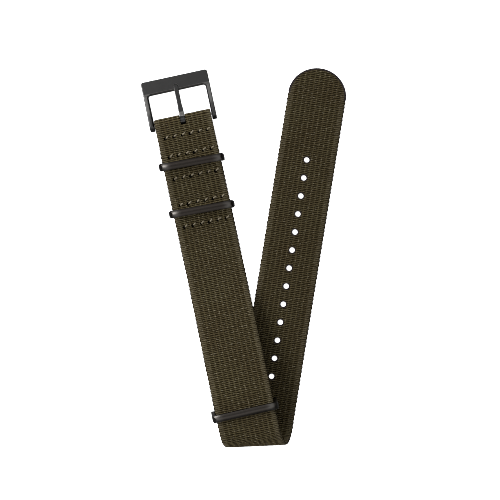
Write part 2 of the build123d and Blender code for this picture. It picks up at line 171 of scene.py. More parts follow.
# The main strap is one 20 mm band of nylon webbing, 1.25 mm thick. It folds round the spring bar,
# comes back to be sewn past the first keeper, runs up and over a springy loop, and ends in a
# tail with 13 punched holes. All its cuts are made hot, so their edges are melted hard.
strap_width = 20.0
webbing_thick = 1.25
layer_gap = 0.05
bar_radius = 0.75
bar_fit = 0.05
wrap_mid = bar_radius + bar_fit + webbing_thick / 2
pin_from_fold = pin_z = wrap_mid + webbing_thick / 2
main_mid_z = pin_z + wrap_mid
top_z = main_mid_z + webbing_thick / 2
second_rel_z = wrap_mid - webbing_thick - layer_gap
turn_in = acos(1 - (second_rel_z + wrap_mid) / (2 * wrap_mid))
turn_run = 2 * wrap_mid * sin(turn_in)
pocket_slack = 0.7
dip_half = turn_run + pocket_slack / 2
keeper_1_at = 17.32
keeper_2_at = 33.77
sewn_end_margin = 1.35
row_c_to_pocket = 1.09
row_c_at = keeper_1_at + dip_half + row_c_to_pocket

flat_run = 54.45
rise_bend = 40.0
rise = radians(14.9)
crest_bend = 24.0
crest_dip = radians(9.0)
loop_bend = 6.9
tail_run = 123.9
crest_z = webbing_thick / 2 + loop_bend * (1 + cos(crest_dip)) + crest_bend * (1 - cos(crest_dip))
slope_run = (crest_z - main_mid_z - (rise_bend + crest_bend) * (1 - cos(rise))) / sin(rise)
slope_at = flat_run + rise_bend * rise
crest_at = slope_at + slope_run
loop_at = crest_at + crest_bend * (rise + crest_dip)
loop_run = loop_bend * (pi - crest_dip)
landing_at = loop_at + loop_run
lean_in = radians(9.64)
lean_out = radians(11.75)
side_shear = 1.35
side_travel = loop_run * tan((lean_in + lean_out) / 2) + side_shear
fold_axis = np.array((cos(lean_in), -sin(lean_in), 0))
towards_top = np.array((sin(lean_in), cos(lean_in), 0))
across_x = np.array((1.0, 0.0, 0.0))
along_y = np.array((0.0, 1.0, 0.0))
upright = np.array((0.0, 0.0, 1.0))
middle = np.array((22.6841, -52.4804, 0.0))
fine_steps = 6000


def lie(stretches, start, along):
    """The way a band lies, seen from the side: how far out, how high and how steep it is at each
    length along it. Each stretch is its length and its curvature, and start is where they begin."""
    out, height, angle = (np.full_like(along, value) for value in start)
    left = np.maximum(along, 0)
    for length, curve in stretches:
        step = np.clip(left, 0, length)
        if curve:
            turned = angle + step * curve
            out += (np.sin(turned) - np.sin(angle)) / curve
            height += (np.cos(angle) - np.cos(turned)) / curve
            angle = turned
        else:
            out += step * np.cos(angle)
            height += step * np.sin(angle)
        left = left - step
    return out + left * np.cos(angle), height + left * np.sin(angle), angle


up_and_over = (
    (flat_run, 0),
    (slope_at - flat_run, 1 / rise_bend),
    (slope_run, 0),
    (loop_at - crest_at, -1 / crest_bend),
    (loop_run, -1 / loop_bend),
)


def drift(q):
    """How far the strap's middle line has moved sideways a length q past the fold, and its lean."""
    share = np.clip((q - loop_at) / loop_run, 0, 1)
    start, end = tan(lean_in) * loop_run, tan(lean_out) * loop_run
    moved = start * (share**3 - 2 * share**2 + share) + end * (share**3 - share**2)
    moved += side_travel * (3 * share**2 - 2 * share**3)
    slope = start * (3 * share**2 - 4 * share + 1) + end * (3 * share**2 - 2 * share)
    slope += side_travel * (6 * share - 6 * share**2)
    moved += np.minimum(q, loop_at) * tan(lean_in) + np.maximum(q - landing_at, 0) * tan(lean_out)
    return moved, np.arctan(slope / loop_run)


def over_the_loop(along, across, lift=0.0):
    """Points and upward directions on the strap from its flat front to the tail's tip, by the
    length along its middle line past the fold and the place across it."""
    q_fine = np.linspace(0, landing_at + tail_run, fine_steps)
    gone = np.concatenate(([0], np.cumsum(np.diff(q_fine) / np.cos(drift(q_fine[:-1])[1]))))
    q_middle = np.interp(along, gone, q_fine)[:, None]
    lean = drift(q_middle)[1]
    q = q_middle - across * np.sin(lean)
    moved, lean = drift(q)
    sideways = moved + across / np.cos(lean)
    out, height, angle = lie(up_and_over, (0, main_mid_z, 0), q)
    flat = np.where(q < 0, q, 0)
    out = (out + flat)[..., None]
    height, angle = height[..., None], angle[..., None]
    facing = towards_top * np.sin(angle) + upright * np.cos(angle)
    points = fold_axis * sideways[..., None] - towards_top * out + upright * height + facing * lift
    return points - middle, facing


def square_on(stretches, start, along, across, origin, ahead, over, sideways):
    """Points and outward directions on a band that is folded square across, from its side view."""
    out, height, angle = (a[:, None, None] for a in lie(stretches, start, along))
    facing = over * np.cos(angle) - ahead * np.sin(angle)
    points = origin + ahead * out + over * height + sideways * across[..., None]
    return points, np.broadcast_to(facing, points.shape)


# the weave: twelve ribs side by side, each a stack of short floats in line with those of the
# next rib, and a plainer rib down each edge, where the filling thread turns back in small
# scallops; past the folds at the buckle, which draw it in, the band is a little wider
rib_count = 12
rib_pitch = strap_width / rib_count
float_pitch = 0.67
floats_per_sample = 4
weave_depth = 0.095
edge_inset = 0.12
edge_scallop = 0.17
edge_bulge = 0.165
bulge_from = 8.0
bulge_full = 14.0
scallop_pitch = 1.5
reverse_shift = 40.0
hole_radius = 0.95
hole_pitch = 6.35
hole_count = 13
tip_to_hole = 32.1
melted_rim = 0.55
melted_sink = 0.4
edge_rib_relief = 0.6
selvage_ease = 0.8
beaten_waves = ((0.05, 7.3, 0.02), (0.05, 3.1, 0.11), (0.04, 2.3, -0.17), (0.03, 1.7, 0.31))


def across_places():
    """Places across the band at each rib's middle and edges, the outermost eased inwards."""
    places = np.linspace(-strap_width / 2, strap_width / 2, 2 * rib_count + 1)
    places[0] += edge_inset
    places[-1] -= edge_inset
    return places


def woven(along, across):
    """The length along as the loom beat it: each pick is a little off its place."""
    off = 0.0
    for reach, period, slip in beaten_waves:
        off = off + reach * np.sin(2 * pi * (along / period + across * slip))
    return along + off


def float_height(along, across, melted):
    """How high the weave stands on either face, from 1 on its highest floats down past -1."""
    swell = np.abs(np.sin(pi * (across + strap_width / 2) / rib_pitch))
    edge_rib = np.abs(across) > strap_width / 2 - rib_pitch
    wave = np.cos(2 * pi * woven(along, across) / float_pitch) * (0.55 + 0.45 * swell)
    wave = np.where(edge_rib, wave * edge_rib_relief, wave + 0.3 - 0.5 * swell)
    return wave * (1 - melted) - melted_sink * melted


def webbing_band(name, along, lay, melted_at):
    """A band of woven webbing as one closed skin: outer face, inner face and both selvages."""
    across = across_places()
    count, rows = len(across), len(along)
    places = np.broadcast_to(across, (rows, count))
    points, facing = lay(along, places)
    melted = melted_at(along[:, None], places)
    wave = float_height(along[:, None], places, melted)
    half = webbing_thick / 2 - weave_depth
    ease = np.ones(count)
    ease[0] = ease[-1] = selvage_ease
    outer = points + facing * ((half + wave * weave_depth) * ease)[..., None]
    inner = points - facing * ((half - wave * weave_depth) * ease)[..., None]
    bulge = edge_bulge * np.clip((along - bulge_from) / (bulge_full - bulge_from), 0, 1)
    notches = 0.5 - 0.5 * np.cos(2 * pi * along / scallop_pitch)
    scallop = edge_inset + bulge - edge_scallop * notches
    outwards = points[:, -1] - points[:, 0]
    outwards /= np.linalg.norm(outwards, axis=1)[:, None]
    right = points[:, -1] + outwards * scallop[:, None]
    left = points[:, 0] - outwards * scallop[:, None]
    ring = np.concatenate((outer, right[:, None], inner[:, ::-1], left[:, None]), axis=1)
    size = ring.shape[1]
    number = np.arange(rows * size).reshape(rows, size)
    after = np.roll(number, -1, axis=1)
    quads = np.stack((number[:-1], number[1:], after[1:], after[:-1]), axis=-1).reshape(-1, 4)
    side = np.arange(size)
    is_inner = (side > count) & (side < 2 * count)
    is_edge = (side == count - 1) | (side == count) | (side >= 2 * count)
    ring_u = np.concatenate((across, [strap_width / 2], across[::-1], [-strap_width / 2]))
    u = np.broadcast_to(ring_u, (rows, size))
    v = np.broadcast_to(along[:, None], (rows, size))
    shift = np.broadcast_to(np.where(is_inner, reverse_shift, 0), (rows - 1, size))
    shift = shift.reshape(-1, 1)
    corner_u = u.ravel()[quads] + shift
    corner_u = np.where(
        np.broadcast_to(is_edge, (rows - 1, size)).reshape(-1, 1),
        np.sign(corner_u) * strap_width / 2,
        corner_u,
    )
    corner_v = v.ravel()[quads]
    # the two cut ends are closed across, from the outer face to the inner one
    ends = []
    for row, flip in ((number[0], False), (number[-1], True)):
        for rib in range(count - 1):
            face = [row[rib], row[rib + 1], row[2 * count - 1 - rib], row[2 * count - rib]]
            ends.append(face[::-1] if flip else face)
        for face in (
            [row[count - 1], row[count], row[count + 1]],
            [row[0], row[2 * count], row[2 * count + 1]],
        ):
            ends.append(face[::-1] if flip else face)
    skin = bpy.data.meshes.new(name)
    faces = quads.tolist() + [[int(i) for i in face] for face in ends]
    skin.from_pydata((ring.reshape(-1, 3) * mm).tolist(), [], faces)
    picks = woven(v, u).ravel()[quads]
    for layer_name, up_the_band in (("plan", corner_v), ("picks", picks)):
        uv = np.zeros((len(skin.loops), 2), np.float32)
        uv[: corner_u.size, 0] = corner_u.ravel() * mm
        uv[: corner_u.size, 1] = up_the_band.ravel() * mm
        skin.uv_layers.new(name=layer_name).data.foreach_set("uv", uv.ravel())
    band = bpy.data.objects.new(name, skin)
    bpy.context.scene.collection.objects.link(band)
    return band


def prism(outline, low, high):
    """A cutter: a flat outline, in the strap's own frame, drawn up from one height to another."""
    count = len(outline)
    points = [(x, y, z) for z in (low, high) for x, y in outline]
    faces = [tuple(range(count))[::-1], tuple(range(count, 2 * count))]
    faces += [(i, (i + 1) % count, count + (i + 1) % count, count + i) for i in range(count)]
    return points, faces


def cut_out(band, cutters, walls):
    """Cut every cutter out of the band at once; its finish of that number covers the cut walls."""
    points, faces = [], []
    for cutter_points, cutter_faces in cutters:
        faces += [tuple(i + len(points) for i in face) for face in cutter_faces]
        points += [tuple(c * mm for c in point) for point in cutter_points]
    knife_mesh = bpy.data.meshes.new("knife")
    knife_mesh.from_pydata(points, [], faces)
    for material in band.data.materials:
        knife_mesh.materials.append(material)
    knife_mesh.polygons.foreach_set("material_index", np.full(len(faces), walls, np.int32))
    knife = bpy.data.objects.new("knife", knife_mesh)
    bpy.context.scene.collection.objects.link(knife)
    cutting = band.modifiers.new("cutting", "BOOLEAN")
    cutting.operation = "DIFFERENCE"
    cutting.solver = "MANIFOLD"
    cutting.object = knife
    bpy.context.view_layer.update()
    seen = band.evaluated_get(bpy.context.evaluated_depsgraph_get())
    cut = bpy.data.meshes.new_from_object(seen)
    band.modifiers.clear()
    band.data = cut
    bpy.data.objects.remove(knife)


fold_arc = wrap_mid * turn_in
return_end = row_c_at + sewn_end_margin
run_on = 20.0
sewn_back = (
    (return_end - keeper_1_at - dip_half, 0),
    (fold_arc, 1 / wrap_mid),
    (fold_arc, -1 / wrap_mid),
    (pocket_slack, 0),
    (fold_arc, -1 / wrap_mid),
    (fold_arc, 1 / wrap_mid),
    (keeper_1_at - dip_half - pin_from_fold - turn_run, 0),
    (fold_arc, 1 / wrap_mid),
    (wrap_mid * (pi + turn_in), -1 / wrap_mid),
    (run_on, 0),
)
before_pin = sum(length for length, _ in sewn_back[:-1])
switch_over = 12.0


def main_strap_lay(along, across):
    """The main strap from its sewn-back end, round the spring bar, and on to the tail's tip."""
    along = along.astype(float)
    from_end = along + before_pin - pin_from_fold
    start = (return_end, pin_z + second_rel_z, pi)
    square = square_on(
        sewn_back, start, from_end, across, -middle, -along_y, upright, across_x
    )
    free = over_the_loop(np.maximum(along, 0), across)
    first = (along < switch_over)[:, None, None]
    return np.where(first, square[0], free[0]), np.where(first, square[1], free[1])


def length_at(q):
    """The length along the strap's middle line at a place on its side view."""
    q_fine = np.linspace(0, q, fine_steps)
    return float(np.sum(np.diff(q_fine) / np.cos(drift(q_fine[:-1])[1])))


landing_length = length_at(landing_at)
tip_length = landing_length + tail_run
last_hole_length = tip_length - tip_to_hole
first_hole_length = last_hole_length - hole_pitch * (hole_count - 1)


def melted_on_main(along, across):
    """1 where a hot punch or blade has melted the weave flat, beside the holes and the tip."""
    step = (along - first_hole_length + hole_pitch / 2) % hole_pitch - hole_pitch / 2
    from_hole = np.hypot(step, across)
    among = along > first_hole_length - hole_pitch / 2
    among &= along < last_hole_length + hole_pitch / 2
    by_hole = among & (from_hole < hole_radius + melted_rim)
    from_tip = np.hypot(along - tip_length + strap_width / 2, across)
    by_tip = (along > tip_length - strap_width / 2) & (from_tip > strap_width / 2 - melted_rim)
    return (by_hole | by_tip).astype(float)


row_step = float_pitch / floats_per_sample
band_start = pin_from_fold - before_pin
steps = int(round((tip_length - band_start) / row_step))
along = np.linspace(band_start, tip_length, steps + 1)
main_band = webbing_band("main_webbing", along, main_strap_lay, melted_on_main)

# the colours of the webbing: olive-drab yarn, painted nearly black as shade where it dives between
# its neighbours and paler as a highlight on a few floats, a dull soot where it is melted, and black
# inside the needle holes as painted shade
yarn_painted_highlight = (0.132, 0.115, 0.078, 1)
yarn_light = (0.060, 0.049, 0.0245, 1)
yarn_brown = (0.053, 0.041, 0.0205, 1)
yarn_painted_shade = (0.0085, 0.006, 0.0023, 1)
melted_dark = (0.016, 0.013, 0.014, 1)
blob_black = (0.006, 0.005, 0.005, 1)
blob_pale = (0.030, 0.025, 0.024, 1)
needle_shade_colour = (0.0030, 0.0022, 0.0012, 1)
reverse_dimming = 0.18


def new_finish(name):
    """A new material, with its node tree and the body that the tree comes with."""
    finish = bpy.data.materials.new(name)
    finish.use_nodes = True
    return finish, finish.node_tree, finish.node_tree.nodes["Principled BSDF"]


def blended(tree, share, first, second):
    """A colour between two others, each a colour or what another node gives."""
    node = tree.nodes.new("ShaderNodeMix")
    node.data_type = "RGBA"
    tree.links.new(share, node.inputs["Factor"])
    for socket, value in ((node.inputs["A"], first), (node.inputs["B"], second)):
        if isinstance(value, bpy.types.NodeSocket):
            tree.links.new(value, socket)
        else:
            socket.default_value = value
    return node.outputs["Result"]


def speckle(tree, where, scale, detail=2.0):
    """Soft random mottling, from 0 to 1."""
    node = tree.nodes.new("ShaderNodeTexNoise")
    tree.links.new(where, node.inputs["Vector"])
    node.inputs["Scale"].default_value = scale
    node.inputs["Detail"].default_value = detail
    return node.outputs["Fac"]


def stretched(tree, where, scale):
    """Coordinates stretched by a different amount each way."""
    node = tree.nodes.new("ShaderNodeMapping")
    tree.links.new(where, node.inputs["Vector"])
    node.inputs["Scale"].default_value = scale
    return node.outputs["Vector"]


def in_relief(tree, height, depth, body):
    """Raise a body's surface by a height, where a height of 1 stands so many mm tall."""
    relief = tree.nodes.new("ShaderNodeBump")
    relief.inputs["Distance"].default_value = depth * mm
    tree.links.new(height, relief.inputs["Height"])
    tree.links.new(relief.outputs[0], body.inputs["Normal"])
    return relief


def how_far(tree, one_way, other_way):
    """The distance to a spot, from the distances along and across."""
    squares = [reckon(tree, "MULTIPLY", way, way) for way in (one_way, other_way)]
    return reckon(tree, "SQRT", reckon(tree, "ADD", *squares))


def webbing_finish(name, holes):
    """Woven nylon: the float pattern of the weave, with painted shade in its gaps and painted
    highlights on some floats and the edge ribs, its filaments, and its melted rims.
    """
    finish, tree, body = new_finish(name)
    plan = tree.nodes.new("ShaderNodeUVMap")
    plan.uv_map = "plan"
    split = tree.nodes.new("ShaderNodeSeparateXYZ")
    tree.links.new(plan.outputs["UV"], split.inputs[0])
    raw_across = reckon(tree, "MULTIPLY", split.outputs["X"], 1 / mm)
    along = reckon(tree, "MULTIPLY", split.outputs["Y"], 1 / mm)
    on_reverse = reckon(tree, "GREATER_THAN", raw_across, reverse_shift / 2)
    shift = reckon(tree, "MULTIPLY", on_reverse, reverse_shift)
    across = reckon(tree, "SUBTRACT", raw_across, shift)
    rib = reckon(tree, "DIVIDE", reckon(tree, "ADD", across, strap_width / 2), rib_pitch)
    off_middle = reckon(tree, "ABSOLUTE", reckon(tree, "SUBTRACT", reckon(tree, "FRACT", rib), 0.5))
    on_rib = smooth_between(tree, reckon(tree, "MULTIPLY", off_middle, -1.0), -0.5, -0.22)
    from_middle = reckon(tree, "ABSOLUTE", across)
    edge_rib = reckon(tree, "GREATER_THAN", from_middle, strap_width / 2 - rib_pitch)
    half_turn = reckon(tree, "MULTIPLY", on_reverse, 0.5)
    picks = tree.nodes.new("ShaderNodeUVMap")
    picks.uv_map = "picks"
    beaten = tree.nodes.new("ShaderNodeSeparateXYZ")
    tree.links.new(picks.outputs["UV"], beaten.inputs[0])
    woven_at = reckon(tree, "MULTIPLY", beaten.outputs["Y"], 1 / mm)
    turns = reckon(tree, "ADD", reckon(tree, "DIVIDE", woven_at, float_pitch), half_turn)
    wave = reckon(tree, "COSINE", reckon(tree, "MULTIPLY", turns, 2 * pi))
    uneven = speckle(tree, plan.outputs["UV"], 1100.0, 1.0)
    depth = reckon(tree, "ADD", uneven, 0.2)
    depth = reckon(tree, "ADD", reckon(tree, "MULTIPLY", on_rib, 0.35), depth)
    plainer = reckon(tree, "SUBTRACT", 1.0, reckon(tree, "MULTIPLY", edge_rib, 0.4))
    risen = reckon(tree, "MULTIPLY", wave, reckon(tree, "MULTIPLY", depth, plainer))
    within = reckon(tree, "SUBTRACT", 1.0, edge_rib)
    middling = reckon(tree, "MULTIPLY", within, reckon(tree, "SUBTRACT", on_rib, 0.55))
    weave = reckon(tree, "SUBTRACT", risen, reckon(tree, "MULTIPLY", middling, 0.75))
    filaments = speckle(tree, stretched(tree, plan.outputs["UV"], (14.0, 1.6, 1.0)), 900.0, 1.0)
    mottle = speckle(tree, plan.outputs["UV"], 900.0, 3.0)
    grain = reckon(tree, "ADD", reckon(tree, "MULTIPLY", filaments, 0.5), mottle)
    grainy = reckon(tree, "MULTIPLY", reckon(tree, "SUBTRACT", grain, 0.75), 1.6)
    lit = reckon(tree, "ADD", weave, grainy)
    dimmed = reckon(tree, "SUBTRACT", 1.0, reckon(tree, "MULTIPLY", on_reverse, reverse_dimming))
    share = reckon(tree, "MULTIPLY", smooth_between(tree, lit, -1.0, 0.9), dimmed)
    patches = smooth_between(tree, speckle(tree, plan.outputs["UV"], 90.0, 2.0), 0.35, 0.65)
    yarn = blended(tree, patches, yarn_light, yarn_brown)
    # a few floats get painted glints of light, and the plain edge ribs a paler painted highlight
    painted_glints = smooth_between(tree, speckle(tree, plan.outputs["UV"], 1500.0, 1.0), 0.56, 0.72)
    painted_highlight = reckon(tree, "MAXIMUM", painted_glints, reckon(tree, "MULTIPLY", edge_rib, 0.28))
    yarn = blended(tree, painted_highlight, yarn, yarn_painted_highlight)
    # painted shade: where the weave stands low, between its floats and between its ribs, the yarn
    # is painted towards near-black
    colour = blended(tree, share, yarn_painted_shade, yarn)
    # the scallops of the edge are parted by painted shade in the notches between them
    notch_painted_shade = reckon(tree, "COSINE", reckon(tree, "MULTIPLY", along, 2 * pi / scallop_pitch))
    outermost = smooth_between(tree, from_middle, strap_width / 2 - 0.30, strap_width / 2 - 0.05)
    notch_painted_shade = reckon(tree, "MULTIPLY", smooth_between(tree, notch_painted_shade, -0.1, 0.7), outermost)
    colour = blended(tree, notch_painted_shade, colour, yarn_painted_shade)
    if holes:
        from_first = reckon(tree, "SUBTRACT", along, first_hole_length)
        from_first = reckon(tree, "ADD", from_first, hole_pitch / 2)
        step = reckon(tree, "FLOORED_MODULO", from_first, hole_pitch)
        step = reckon(tree, "SUBTRACT", step, hole_pitch / 2)
        rough_edge = reckon(tree, "MULTIPLY", reckon(tree, "SUBTRACT", mottle, 0.5), 0.5)
        from_hole = reckon(tree, "ADD", how_far(tree, step, across), rough_edge)
        unmelted = smooth_between(tree, from_hole, hole_radius + 0.15, hole_radius + melted_rim)
        ring = reckon(tree, "SUBTRACT", 1.0, unmelted)
        among = reckon(
            tree, "MULTIPLY",
            reckon(tree, "GREATER_THAN", along, first_hole_length - hole_pitch / 2),
            reckon(tree, "LESS_THAN", along, last_hole_length + hole_pitch / 2),
        )
        ring = reckon(tree, "MULTIPLY", ring, among)
        back = reckon(tree, "SUBTRACT", along, tip_length - strap_width / 2)
        out_at = reckon(tree, "ADD", how_far(tree, back, across), rough_edge)
        tip_rim = smooth_between(tree, out_at, strap_width / 2 - 0.8, strap_width / 2 - 0.2)
        tip_rim = reckon(tree, "MULTIPLY", tip_rim, reckon(tree, "GREATER_THAN", back, 0.0))
        melted = reckon(tree, "MAXIMUM", ring, tip_rim)
        colour = blended(tree, melted, colour, melted_dark)
    tree.links.new(colour, body.inputs["Base Color"])
    rough = reckon(tree, "ADD", reckon(tree, "MULTIPLY", grain, 0.12), 0.66)
    tree.links.new(rough, body.inputs["Roughness"])
    body.inputs["Specular IOR Level"].default_value = 0.03
    raised = reckon(tree, "ADD", reckon(tree, "MULTIPLY", weave, 0.6), grain)
    in_relief(tree, raised, 0.06, body).inputs["Strength"].default_value = 0.8
    return finish


melted_edge, tree, body = new_finish("melted_edge")
blobs = speckle(tree, tree.nodes.new("ShaderNodeTexCoord").outputs["Object"], 2500.0)
tree.links.new(blended(tree, blobs, blob_black, blob_pale), body.inputs["Base Color"])
rough = reckon(tree, "ADD", reckon(tree, "MULTIPLY", blobs, 0.3), 0.35)
tree.links.new(rough, body.inputs["Roughness"])

main_band.data.materials.append(webbing_finish("main_webbing_weave", True))
main_band.data.materials.append(melted_edge)

tail_heading = lean_in + lean_out
tail_along = np.array((sin(tail_heading), cos(tail_heading), 0))
tail_across = np.array((cos(tail_heading), -sin(tail_heading), 0))
middle_line = np.array([[0.0]])
landing = over_the_loop(np.array([landing_length]), middle_line)[0][0, 0]
circle_steps = 28
under_table, over_tail, over_fold = -1.0, 2.2, 6.0
cutters = []
for hole in range(hole_count):
    centre = landing + tail_along * (tail_run - tip_to_hole - hole_pitch * hole)
    outline = []
    for step in range(circle_steps):
        turn = 2 * pi * step / circle_steps
        spot = centre + (tail_across * cos(turn) + tail_along * sin(turn)) * hole_radius
        outline.append((spot[0], spot[1]))
    cutters.append(prism(outline, under_table, over_tail))
# the tip is cut to a half circle by a hot blade with a hollow edge
blade_reach = strap_width / 2 + 1.0
tip_steps = 40
corners = ((-1, 0), (-1, 1), (1, 1), (1, 0))
outline = [(side * blade_reach, forward * blade_reach) for side, forward in corners]
for step in range(tip_steps + 1):
    turn = pi * step / tip_steps
    outline.append((cos(turn) * (strap_width / 2 + edge_bulge), sin(turn) * strap_width / 2))
shoulder = landing + tail_along * (tail_run - strap_width / 2)
blade = []
for side, forward in outline:
    spot = shoulder + tail_across * side + tail_along * forward
    blade.append((spot[0], spot[1]))
cutters.append(prism(blade[::-1], under_table, over_tail))
# the slot for the tongue runs from just behind the spring bar out through the fold
slot_half = 0.94
slot_round = 0.3
slot_behind_pin = 1.55
slot_back = -pin_from_fold - slot_behind_pin
slot_steps = 6
slot = [(slot_half, 1.0), (-slot_half, 1.0)]
for start, side in ((pi, -1), (1.5 * pi, 1)):
    for step in range(slot_steps + 1):
        turn = start + pi / 2 * step / slot_steps
        slot.append((side * (slot_half - slot_round) + slot_round * cos(turn),
                     slot_back + slot_round + slot_round * sin(turn)))
slot = [(x - middle[0], y - middle[1]) for x, y in slot]
cutters.append(prism(slot, under_table, over_fold))
cut_out(main_band, cutters, 1)
# every needle hole of the five rows stays open a little at its stitch's ends, painted black inside
# as shade
needle_hole_shade, _, body = new_finish("needle_hole_shade")
body.inputs["Base Color"].default_value = needle_shade_colour
body.inputs["Roughness"].default_value = 1.0
body.inputs["Specular IOR Level"].default_value = 0.05
main_band.data.materials.append(needle_hole_shade)
cutters = []
stitch_pitch = 2.93
stitch_reach = 1.05
stitch_slant = radians(29)
stitch_count = 6
row_offset = 0.85
row_b_to_pocket = 0.97
row_d_to_pocket = 0.36
row_e_to_pocket = 1.42
row_places = {
    "a": 6.86,
    "b": keeper_1_at - dip_half - row_b_to_pocket,
    "c": row_c_at,
    "d": keeper_2_at - dip_half - row_d_to_pocket,
    "e": keeper_2_at + dip_half + row_e_to_pocket,
}
needle_radius = 0.50
needle_spread = 0.10
pulled_radius = 0.20
needle_depth = 0.55
needle_past_stitch = 0.7
needle_above = 0.5
needle_sides = 10
for row_at in row_places.values():
    for stitch in range(stitch_count):
        place = row_offset + stitch_pitch * (stitch - (stitch_count - 1) / 2)
        open_radius = needle_radius + needle_spread * sin(2.4 * stitch + row_at)
        for end, radius in ((-1, open_radius), (1, pulled_radius)):
            reach = end * (stitch_reach / 2 + radius * needle_past_stitch)
            x = place + reach * cos(stitch_slant) - middle[0]
            y = reach * sin(stitch_slant) - row_at - middle[1]
            outline = []
            for step in range(needle_sides):
                turn = 2 * pi * step / needle_sides
                outline.append((x + radius * cos(turn), y + radius * sin(turn)))
            cutters.append(prism(outline, top_z - needle_depth, top_z + needle_above))
cut_out(main_band, cutters, 2)
sharp_turn = radians(72)
main_band.data.shade_smooth()
main_band.data.set_sharp_from_angle(angle=sharp_turn)
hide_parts("main_strap")
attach(main_band, "strap")

# The under strap is a shorter band of the same webbing, sewn below the main strap. It dips to hold
# the second keeper's rear bar, and its far end is folded round the end keeper's and sewn shut.
under_start = row_places["d"] - sewn_end_margin
under_level = row_places["e"] + sewn_end_margin
held_on = 8.0
loose_gap = 0.3
ease = acos(1 - (loose_gap - layer_gap) / (2 * rise_bend))
loose_lift = -webbing_thick - loose_gap
end_bar_past_crest = 1.5
end_bar_at = slope_run / cos(lean_in) + end_bar_past_crest
end_fold_run = 11.0
held_level = (
    (keeper_2_at - dip_half - under_start, 0),
    (fold_arc, -1 / wrap_mid),
    (fold_arc, 1 / wrap_mid),
    (pocket_slack, 0),
    (fold_arc, 1 / wrap_mid),
    (fold_arc, -1 / wrap_mid),
    (under_level - keeper_2_at - dip_half, 0),
    (rise_bend * ease, -1 / rise_bend),
    (rise_bend * ease, 1 / rise_bend),
    (run_on, 0),
)
dips_longer = 4 * fold_arc + pocket_slack - 2 * dip_half
up_slope = upright * sin(rise) - towards_top * cos(rise)
heading = fold_axis * sin(lean_in) + up_slope * cos(lean_in)
slope_up = upright * cos(rise) + towards_top * sin(rise)
slope_across = np.cross(slope_up, heading)
slope_length = length_at(slope_at)
bar_lift = loose_lift - wrap_mid
slope_foot = over_the_loop(np.array([slope_length]), middle_line, bar_lift)[0][0, 0]
end_bar = slope_foot + heading * end_bar_at
folded_end = (
    (end_fold_run + pocket_slack / 2, 0),
    (wrap_mid * pi, -1 / wrap_mid),
    (pocket_slack, 0),
    (fold_arc, -1 / wrap_mid),
    (fold_arc, 1 / wrap_mid),
    (end_fold_run - dip_half, 0),
)
fold_from = slope_length + end_bar_at - end_fold_run
under_end = fold_from + sum(length for length, _ in folded_end)


def under_strap_lay(along, across):
    """The under strap from its start at the second keeper to the end of its last fold."""
    start = (under_start, pin_z + second_rel_z, 0)
    held = square_on(
        held_level, start, along + dips_longer - under_start, across, -middle,
        -along_y, upright, across_x,
    )
    free = over_the_loop(np.maximum(along, 0), across, loose_lift)
    folded = square_on(
        folded_end, (-end_fold_run, wrap_mid, 0), along - fold_from, across, end_bar,
        heading, slope_up, slope_across,
    )
    first = (along < under_level + held_on)[:, None, None]
    last = (along > fold_from)[:, None, None]
    points = np.where(first, held[0], np.where(last, folded[0], free[0]))
    return points, np.where(first, held[1], np.where(last, folded[1], free[1]))


steps = int(round((under_end - under_start + dips_longer) / row_step))
along = np.linspace(under_start - dips_longer, under_end, steps + 1)
under_band = webbing_band(
    "under_webbing", along, under_strap_lay, lambda along, across: across * 0
)
under_band.data.materials.append(webbing_finish("under_webbing_weave", False))
under_band.data.shade_smooth()
under_band.data.set_sharp_from_angle(angle=sharp_turn)
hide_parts("under_strap")
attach(under_band, "strap")

# Six rows of lockstitch hold the layers together, in pale bonded nylon thread of three plies: a
# needle thread on the face, which dives into the webbing, and a bobbin thread behind.
stitch_thick = 0.58
plies = 3
stitch_rise = 0.20
stitch_sink = 0.34
slant_spread = 0.16
reach_spread = 0.14
ply_depth = 0.13
row_f_to_pocket = 1.35
thread_pale = (0.180, 0.156, 0.110, 1)
thread_shade = (0.072, 0.059, 0.036, 1)

thread_finish, tree, body = new_finish("bonded_thread")
twist = tree.nodes.new("ShaderNodeUVMap")
twist.uv_map = "twist"
fibres = speckle(tree, stretched(tree, twist.outputs["UV"], (1.0, 6.0, 1.0)), 6.0, 2.0)
place = tree.nodes.new("ShaderNodeTexCoord").outputs["Object"]
soiled = speckle(tree, place, 700.0, 2.0)
halves = [reckon(tree, "MULTIPLY", part, 0.5) for part in (fibres, soiled)]
share = smooth_between(tree, reckon(tree, "ADD", *halves), 0.3, 0.65)
tree.links.new(blended(tree, share, thread_shade, thread_pale), body.inputs["Base Color"])
rough = reckon(tree, "ADD", reckon(tree, "MULTIPLY", fibres, 0.25), 0.45)
tree.links.new(rough, body.inputs["Roughness"])
body.inputs["Specular IOR Level"].default_value = 0.2
in_relief(tree, fibres, 0.03, body)


